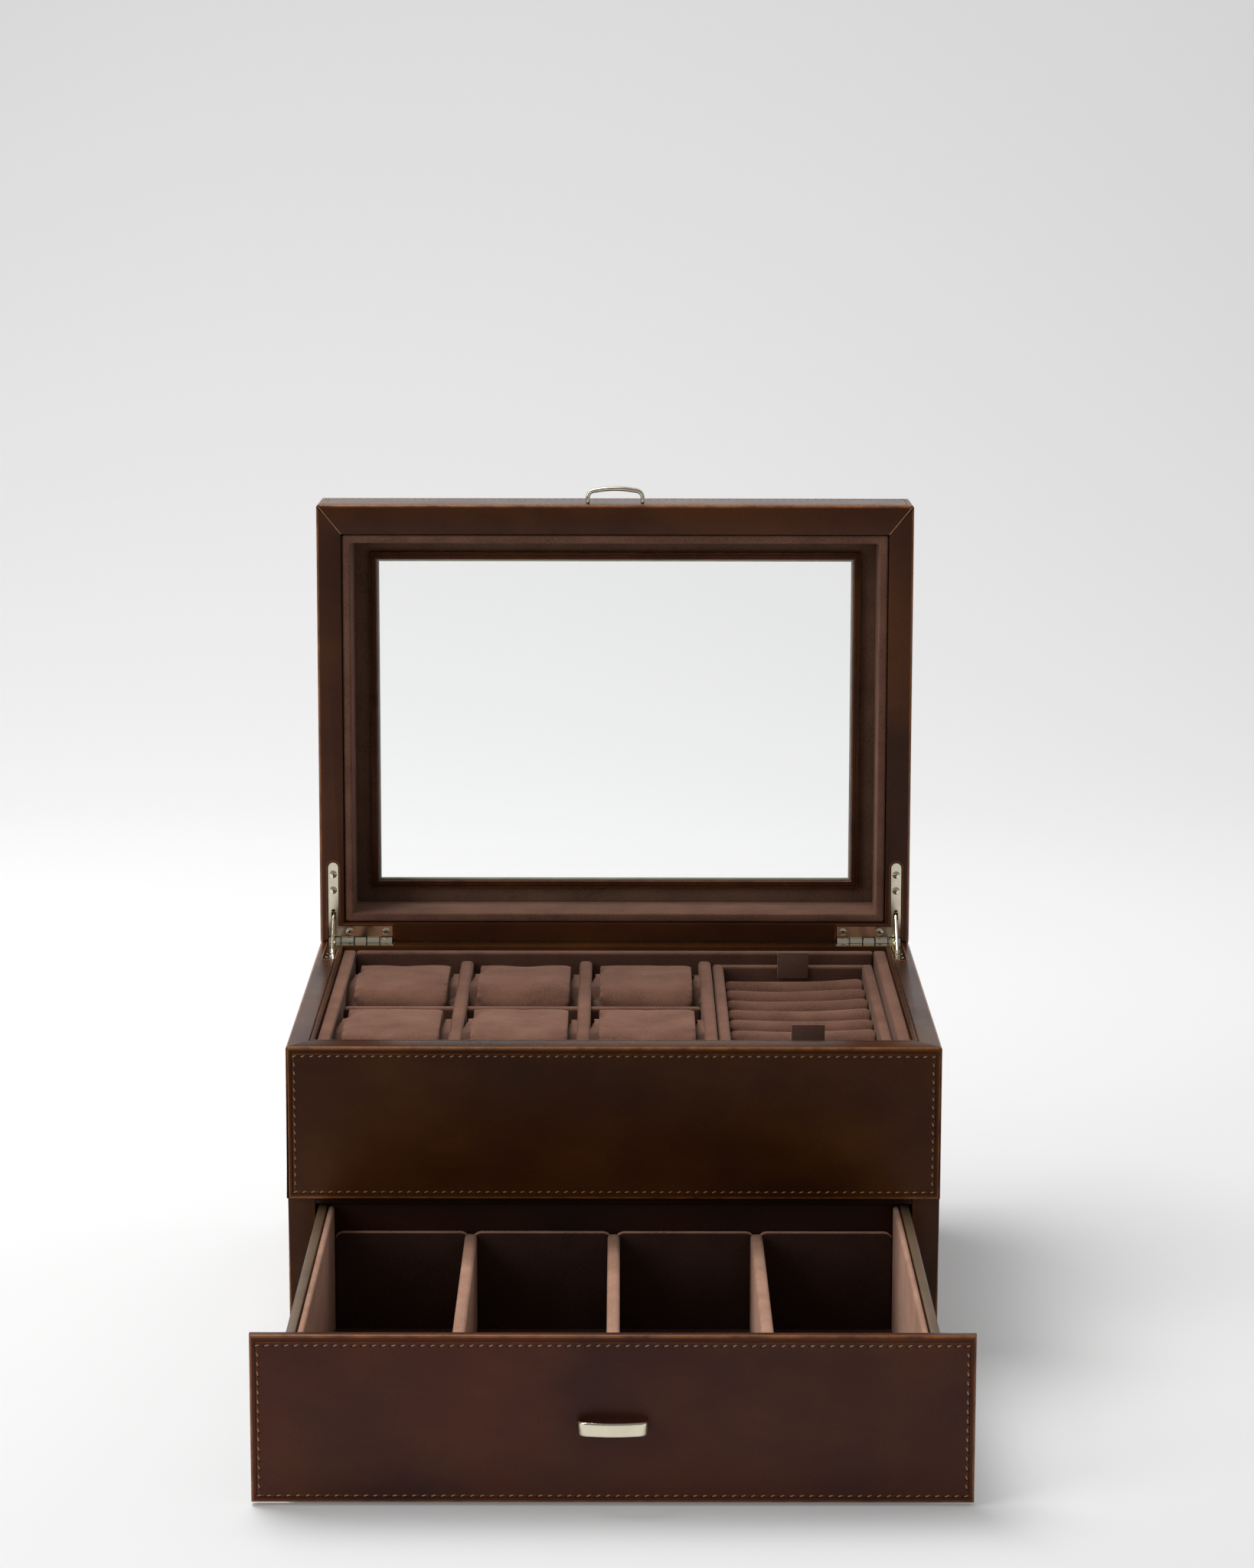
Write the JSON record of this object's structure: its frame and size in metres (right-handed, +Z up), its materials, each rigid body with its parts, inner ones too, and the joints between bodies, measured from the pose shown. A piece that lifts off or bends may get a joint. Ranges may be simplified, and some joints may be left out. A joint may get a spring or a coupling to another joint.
{
  "type": "leather jewellery case",
  "caption": "Leather jewellery case with a glazed hinged lid, a suede watch and ring tray and a full-width drawer.",
  "frame": {"origin": "middle of the case's underside, on the table", "axes": "+X to the case's right as seen from the front, +Y towards its back, +Z up; the drawer pulls out along -Y"},
  "size_m": [0.29, 0.458, 0.3661],
  "materials": {
    "leather": "burnished dark brown full-grain, satin gloss, tan worn edges",
    "suede": "mauve-brown microsuede, short nap",
    "ribbon": "dark brown suede ribbon",
    "painted_board": "board in leather with olive-brown painted edges",
    "felt": "dark brown felt",
    "nickel": "polished warm nickel",
    "glass": "clear, polished"
  },
  "bodies": {
    "case": {"base_felt": "felt", "bottom_board": "leather", "case_wall_back": "leather", "case_wall_front": "leather", "case_wall_left": "leather", "case_wall_right": "leather", "cross_divider": "suede", "drawer_bay_shelf": "leather", "hinge_case_leaf_left": "nickel", "hinge_case_leaf_right": "nickel", "hinge_pin_left": "nickel", "hinge_pin_right": "nickel", "tray_floor_pad": "suede", "tray_liner_back": "suede", "tray_liner_front": "suede", "tray_liner_left": "suede", "tray_liner_right": "suede", "watch_divider_left": "suede", "watch_divider_middle": "suede", "watch_divider_right": "suede"},
    "lid": {"hinge_lid_leaf_left": "nickel", "hinge_lid_leaf_right": "nickel", "lid_board_back": "leather", "lid_board_front": "leather", "lid_board_left": "leather", "lid_board_right": "leather", "lid_glass": "glass", "lid_liner": "suede", "lid_pull": "nickel", "lid_top_panel": "leather", "window_bezel": "leather"},
    "stay_left": {"stay_rod_left": "nickel"},
    "stay_right": {"stay_rod_right": "nickel"},
    "drawer": {"drawer_back": "painted_board", "drawer_bottom": "painted_board", "drawer_divider_1": "suede", "drawer_divider_2": "suede", "drawer_divider_3": "suede", "drawer_front": "leather", "drawer_lining": "suede", "drawer_pull": "nickel", "drawer_side_left": "painted_board", "drawer_side_right": "painted_board"},
    "ring_tray": {"ring_roll_1": "suede", "ring_roll_2": "suede", "ring_roll_3": "suede", "ring_roll_4": "suede", "ring_roll_5": "suede", "ring_roll_6": "suede", "ring_roll_7": "suede", "ring_roll_8": "suede", "ring_tray": "suede", "ring_tray_tab_back": "ribbon", "ring_tray_tab_front": "ribbon"},
    "cushion_back_left": {"watch_cushion_back_left": "suede"},
    "cushion_back_middle": {"watch_cushion_back_middle": "suede"},
    "cushion_back_right": {"watch_cushion_back_right": "suede"},
    "cushion_front_left": {"watch_cushion_front_left": "suede"},
    "cushion_front_middle": {"watch_cushion_front_middle": "suede"},
    "cushion_front_right": {"watch_cushion_front_right": "suede"}
  },
  "joints": [
    {"name": "lid_hinge", "type": "hinge", "parent": "case", "child": "lid", "pos_m": [0, 0.1065, 0.142], "axis": [-1, 0, 0], "range_deg": [-91, 0]},
    {"name": "stay_left_turn", "type": "hinge", "parent": "lid", "child": "stay_left", "pos_m": [-0.13835, 0.10935, 0.15645], "axis": [1, 0, 0], "range_deg": [-45.5, 0]},
    {"name": "stay_right_turn", "type": "hinge", "parent": "lid", "child": "stay_right", "pos_m": [0.13835, 0.10935, 0.15645], "axis": [1, 0, 0], "range_deg": [-45.5, 0]},
    {"name": "drawer_slide", "type": "slide", "parent": "case", "child": "drawer", "axis": [0, -1, 0], "range_m": [-0.192, 0]},
    {"name": "ring_tray_lift", "type": "slide", "parent": "case", "child": "ring_tray", "axis": [0, 0, 1], "range_m": [0, 0.06]},
    {"name": "cushion_back_left_lift", "type": "slide", "parent": "case", "child": "cushion_back_left", "axis": [0, 0, 1], "range_m": [0, 0.06]},
    {"name": "cushion_back_middle_lift", "type": "slide", "parent": "case", "child": "cushion_back_middle", "axis": [0, 0, 1], "range_m": [0, 0.06]},
    {"name": "cushion_back_right_lift", "type": "slide", "parent": "case", "child": "cushion_back_right", "axis": [0, 0, 1], "range_m": [0, 0.06]},
    {"name": "cushion_front_left_lift", "type": "slide", "parent": "case", "child": "cushion_front_left", "axis": [0, 0, 1], "range_m": [0, 0.06]},
    {"name": "cushion_front_middle_lift", "type": "slide", "parent": "case", "child": "cushion_front_middle", "axis": [0, 0, 1], "range_m": [0, 0.06]},
    {"name": "cushion_front_right_lift", "type": "slide", "parent": "case", "child": "cushion_front_right", "axis": [0, 0, 1], "range_m": [0, 0.06]}
  ],
  "couplings": [
    {"joint": "stay_left_turn", "follows": "lid_hinge", "ratio": 0.5},
    {"joint": "stay_right_turn", "follows": "lid_hinge", "ratio": 0.5}
  ]
}
